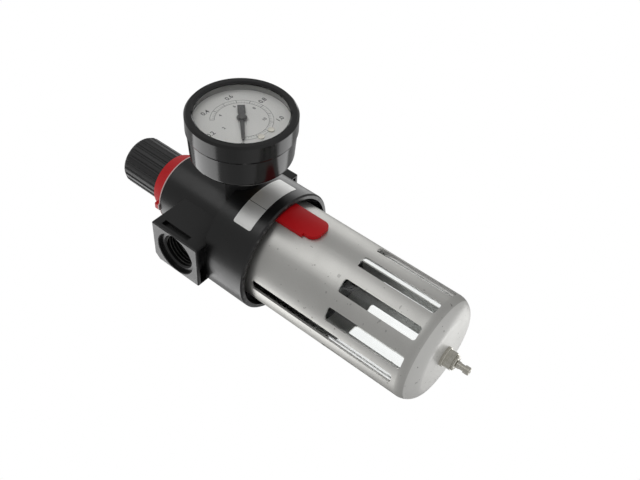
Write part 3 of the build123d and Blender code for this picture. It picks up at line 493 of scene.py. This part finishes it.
# Drain: turned brass with a dull nickel colour. The nut clamps the drain into the bowl's
# floor, and the end of its thread shows below the nut.
nickel = Finish("nickelled_brass", metallic=1.0)
nickel.colour(nickel.blend(nickel.noise(500), (0.50, 0.48, 0.41), (0.76, 0.74, 0.68)))
nickel.rough(nickel.noise(900) * 0.16 + 0.12)
nickel.cover("drain_body", "drain_washer", "drain_nut", "drain_stem")
fit(wind_thread("drain_thread", "Z", -0.1494, 0.00388, 0.00418, 0.0005, 2),
    nickel, "bowl_unit")


# Gauge case and bezel: polished black moulding, screwed by its brass socket into the front
# of the body.
gloss = Finish("polished_black")
gloss.colour(gloss.blend(gloss.noise(70), (0.0050, 0.0050, 0.0051), (0.0090, 0.0090, 0.0090)))
gloss.rough(gloss.noise(180) * 0.06 + 0.13)
gloss.bump(gloss.noise(500, 2), 0.00002, 0.12)
gloss.cover("gauge_case", "gauge_bezel")


# Lens: flat clear acrylic disc, held in the bezel's lip.
lens = Finish("clear_acrylic", transmission_weight=1.0, ior=1.3)
lens.colour(lens.blend(lens.noise(50), (0.97, 0.97, 0.965), (1, 1, 1)))
lens.rough(lens.noise(100) * 0.02 + 0.01)
lens.cover("gauge_lens")


# Dial and spacer: printed aluminium disc in warm white, over a grey ring.
dial = Finish("dial_white")
dial.colour(dial.blend(dial.noise(80), (0.70, 0.70, 0.68), (0.76, 0.76, 0.74)))
dial.rough(dial.noise(300) * 0.1 + 0.5)
dial.cover("gauge_dial")
grey = Finish("grey_ring")
grey.colour(grey.blend(grey.noise(80), (0.34, 0.34, 0.33), (0.42, 0.42, 0.41)))
grey.rough(grey.noise(300) * 0.1 + 0.5)
grey.cover("dial_ring")


# Dial printing: a pressure scale from 0 to 1.0 over 270 degrees in thin grey ink, with a
# second row of plain numbers inside it. Only numbers are printed.
gauge_middle = Vector((0, -0.07131, -0.0113))
ink_thick = 0.00004
scale_zero = 225
scale_sweep = 270
scale_in = 0.0131
scale_out = 0.0153
ink = Finish("dial_ink")
ink.colour(ink.blend(ink.noise(900), (0.022, 0.023, 0.024), (0.05, 0.051, 0.053)))
ink.rough(ink.noise(500) * 0.1 + 0.5)


def dial_spot(angle, radius):
    """Give the point of the dial at a polar angle and radius."""
    turn = math.radians(angle)
    return gauge_middle + Vector((math.cos(turn) * radius, 0, math.sin(turn) * radius))


def sweep_ink(name, radius, length, width, steps, apart):
    """Draw one block of ink at the scale's zero and sweep or copy it round the scale."""
    bpy.ops.mesh.primitive_cube_add(size=1, location=dial_spot(scale_zero, radius + length / 2),
                                    rotation=(0, -math.radians(scale_zero), 0),
                                    scale=(length, ink_thick, width))
    piece = bpy.context.object
    piece.name = name
    apply_place(piece)
    if not apart:
        turn = math.radians(scale_zero - 90)
        along = Vector((math.cos(turn), 0, math.sin(turn)))
        choose(piece, "FACE", lambda face: face.normal.dot(along) < 0.9)
        bpy.ops.mesh.delete(type="FACE")
    bpy.ops.object.mode_set(mode="EDIT")
    bpy.ops.mesh.select_all(action="SELECT")
    bpy.ops.mesh.spin(steps=steps, dupli=apart, angle=math.radians(scale_sweep), use_auto_merge=False,
                      center=gauge_middle, axis=(0, 1, 0))
    bpy.ops.object.mode_set(mode="OBJECT")
    face_outwards(piece)
    return piece


for name, radius, length, width, steps, apart in (
        ("dial_fine_ticks", scale_in, 0.0012, 0.00013, 50, True),
        ("dial_long_ticks", scale_in, scale_out - scale_in, 0.00026, 10, True),
        ("dial_inner_line", scale_in, 0.00016, 0.00002, 90, False),
        ("dial_outer_line", scale_out, 0.00016, 0.00002, 90, False)):
    fit(sweep_ink(name, radius, length, width, steps, apart), ink, "housing")

for name, words, radius, tall in (
        ("dial_numbers", ("0", "0.2", "0.4", "0.6", "0.8", "1.0"), 0.0184, 0.0036),
        ("dial_inner_numbers", ("0", "2", "4", "6", "8", "10"), 0.0108, 0.0024)):
    printed = []
    for place, word in enumerate(words):
        angle = scale_zero - scale_sweep * place / (len(words) - 1)
        bpy.ops.object.text_add(location=dial_spot(angle, radius), rotation=(math.pi / 2, 0, 0))
        number = bpy.context.object
        number.data.body = word
        number.data.size = tall
        number.data.align_x = "CENTER"
        number.data.align_y = "CENTER"
        number.data.extrude = ink_thick / 2
        number.data.offset = 0.00005
        bpy.ops.object.convert(target="MESH")
        printed.append(bpy.context.object)
    bpy.ops.object.select_all(action="DESELECT")
    for number in printed:
        number.select_set(True)
    bpy.context.view_layer.objects.active = printed[0]
    bpy.ops.object.join()
    numbers = bpy.context.object
    numbers.name = name
    apply_place(numbers)
    face_outwards(numbers, 1e-7)
    fit(numbers, ink, "housing")


# Dial screws: two small brass screws with flat round heads, through the dial into posts on
# the case floor.
screws = Finish("dial_screw_brass", metallic=1.0)
screws.colour(screws.blend(screws.noise(400), (0.50, 0.48, 0.42), (0.66, 0.64, 0.58)))
screws.rough(screws.noise(600) * 0.2 + 0.25)
screws.cover("dial_screws")


# Pressure tube: drawn bronze, flattened and bent to an arc, soldered into the socket's block.
bronze = Finish("bronze_tube", metallic=1.0)
bronze.colour(bronze.blend(bronze.noise(300), (0.48, 0.30, 0.15), (0.60, 0.40, 0.22)))
bronze.rough(bronze.noise(500) * 0.2 + 0.28)
bronze.cover("bourdon_tube")


# Pointer: thin pressed aluminium, painted matt black, pressed on its arbor.
needle = Finish("pointer_black")
needle.colour(needle.blend(needle.noise(300), (0.022, 0.022, 0.022), (0.036, 0.036, 0.036)))
needle.rough(needle.noise(600) * 0.15 + 0.4)
needle.cover("pointer")
